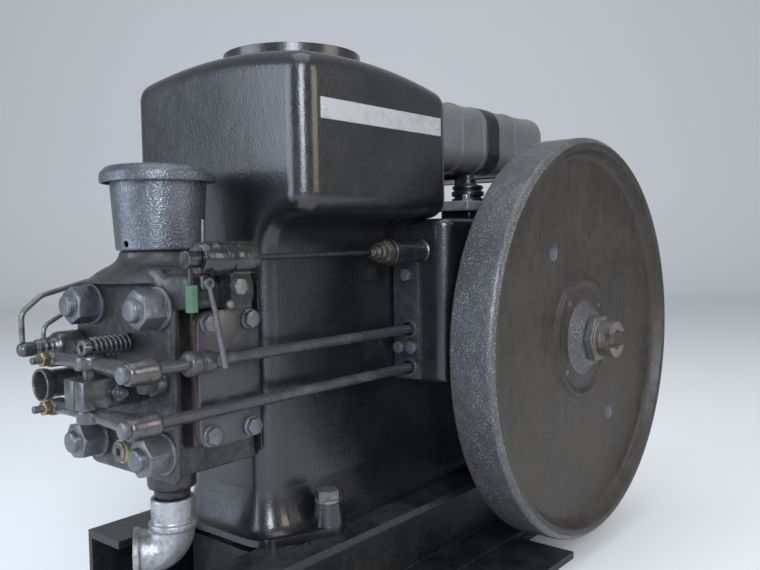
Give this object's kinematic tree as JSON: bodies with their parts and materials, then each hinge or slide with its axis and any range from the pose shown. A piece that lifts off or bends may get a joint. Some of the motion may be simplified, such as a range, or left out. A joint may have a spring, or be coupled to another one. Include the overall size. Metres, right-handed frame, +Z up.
{
  "type": "stationary engine",
  "caption": "Horizontal stationary diesel engine with an open water hopper, an exposed valve gear and a solid flywheel, on a steel skid.",
  "frame": {"origin": "underside of the skid plate, on the ground under the crankshaft, on the centreline of the cylinder", "axes": "+X from the cylinder head to the crankcase, +Y away from the flywheel, +Z up"},
  "size_m": [0.982, 0.506, 0.71],
  "materials": {
    "skid_steel": "matt black paint, dusty and rubbed",
    "block_paint": "gloss dark grey paint",
    "head_metal": "oily grey brown casting",
    "cover_metal": "gloss dark grey paint",
    "gasket_copper": "copper sheet edge",
    "steel_parts": "oily machined steel",
    "bolt_steel": "dark zinc with light rust",
    "rod_steel": "grey paint, peeled",
    "filter_sheet": "silver grey hammer paint",
    "elbow_zinc": "mottled galvanised iron",
    "plate_alu": "bare sheet, scuffed",
    "control_metal": "worn casting with rust",
    "grip_plastic": "pale green plastic",
    "wheel_iron": "dark oiled iron with rust specks",
    "shaft_steel": "steel with surface rust",
    "tank_sheet": "grey painted sheet, scratched",
    "strap_steel": "black paint",
    "breather_pale": "pale grey paint"
  },
  "bodies": {
    "engine_frame": {"skid_plate": "skid_steel", "near_rail": "skid_steel", "far_rail": "skid_steel", "rail_ties": "skid_steel", "foot_bolts": "bolt_steel", "engine_block": "block_paint", "engine_feet": "block_paint", "bearing_housings": "block_paint", "housing_bolts": "bolt_steel", "crankcase_door": "block_paint", "name_plate": "plate_alu", "cylinder_head": "head_metal", "gaskets": "gasket_copper", "jacket_cover": "cover_metal", "head_nuts": "steel_parts", "head_plugs": "bolt_steel", "air_filter_can": "filter_sheet", "air_filter_cap": "filter_sheet", "exhaust_elbow": "elbow_zinc", "rocker_pedestal": "steel_parts", "rocker_pin": "steel_parts", "upper_spring": "steel_parts", "lower_spring": "steel_parts", "tappet_plate": "cover_metal", "control_bracket": "control_metal", "guide_tube": "control_metal", "injector": "steel_parts", "injector_pipe": "bolt_steel", "pipe_fitting": "steel_parts", "chamber_collar": "steel_parts", "spring_plunger": "steel_parts", "fuel_tank": "tank_sheet", "fuel_tank_ends": "tank_sheet", "tank_cap": "strap_steel", "tank_strap": "strap_steel", "tank_cradle": "strap_steel", "breather": "breather_pale"},
    "wheel_group": {"flywheel": "wheel_iron", "flywheel_rim": "wheel_iron", "crankshaft": "shaft_steel", "starting_nut": "shaft_steel"},
    "upper_rocker_group": {"upper_rocker": "steel_parts", "upper_adjuster": "gasket_copper"},
    "lower_rocker_group": {"lower_rocker": "steel_parts", "lower_adjuster": "gasket_copper"},
    "upper_valve_group": {"upper_valve": "steel_parts"},
    "lower_valve_group": {"lower_valve": "steel_parts"},
    "upper_rod_group": {"upper_pushrod": "rod_steel"},
    "lower_rod_group": {"lower_pushrod": "rod_steel"},
    "control_group": {"control_rod": "control_metal", "control_grip": "grip_plastic"},
    "lever_group": {"release_lever": "steel_parts"}
  },
  "joints": [
    {"name": "flywheel_spin", "type": "hinge", "parent": "engine_frame", "child": "wheel_group", "pos_m": [0, -0.217, 0.325], "axis": [0, 1, 0], "continuous": true},
    {"name": "upper_rocker_pivot", "type": "hinge", "parent": "engine_frame", "child": "upper_rocker_group", "pos_m": [-0.665, -0.01, 0.355], "axis": [0, 0, -1], "range_deg": [0, 7], "stiffness_Nm_per_rad": 5, "springref_deg": -5.73},
    {"name": "lower_rocker_pivot", "type": "hinge", "parent": "engine_frame", "child": "lower_rocker_group", "pos_m": [-0.665, -0.01, 0.304], "axis": [0, 0, -1], "range_deg": [0, 7], "stiffness_Nm_per_rad": 5, "springref_deg": -5.73},
    {"name": "upper_valve_slide", "type": "slide", "parent": "engine_frame", "child": "upper_valve_group", "axis": [1, 0, 0], "range_m": [0, 0.0084], "deforming": ["upper_spring"]},
    {"name": "lower_valve_slide", "type": "slide", "parent": "engine_frame", "child": "lower_valve_group", "axis": [1, 0, 0], "range_m": [0, 0.0084], "deforming": ["lower_spring"]},
    {"name": "upper_rod_slide", "type": "slide", "parent": "engine_frame", "child": "upper_rod_group", "axis": [-1, 0, 0], "range_m": [0, 0.0112]},
    {"name": "lower_rod_slide", "type": "slide", "parent": "engine_frame", "child": "lower_rod_group", "axis": [-1, 0, 0], "range_m": [0, 0.0112]},
    {"name": "control_turn", "type": "hinge", "parent": "engine_frame", "child": "control_group", "pos_m": [-0.5, -0.118, 0.458], "axis": [-1, 0, 0], "range_deg": [0, 60]},
    {"name": "lever_swing", "type": "hinge", "parent": "engine_frame", "child": "lever_group", "pos_m": [-0.6, -0.1198, 0.434], "axis": [0, 1, 0], "range_deg": [0, 20]}
  ],
  "couplings": [
    {"joint": "upper_valve_slide", "follows": "upper_rocker_pivot", "m_per_rad": 0.068},
    {"joint": "lower_valve_slide", "follows": "lower_rocker_pivot", "m_per_rad": 0.068},
    {"joint": "upper_rod_slide", "follows": "upper_rocker_pivot", "m_per_rad": 0.091},
    {"joint": "lower_rod_slide", "follows": "lower_rocker_pivot", "m_per_rad": 0.091}
  ]
}
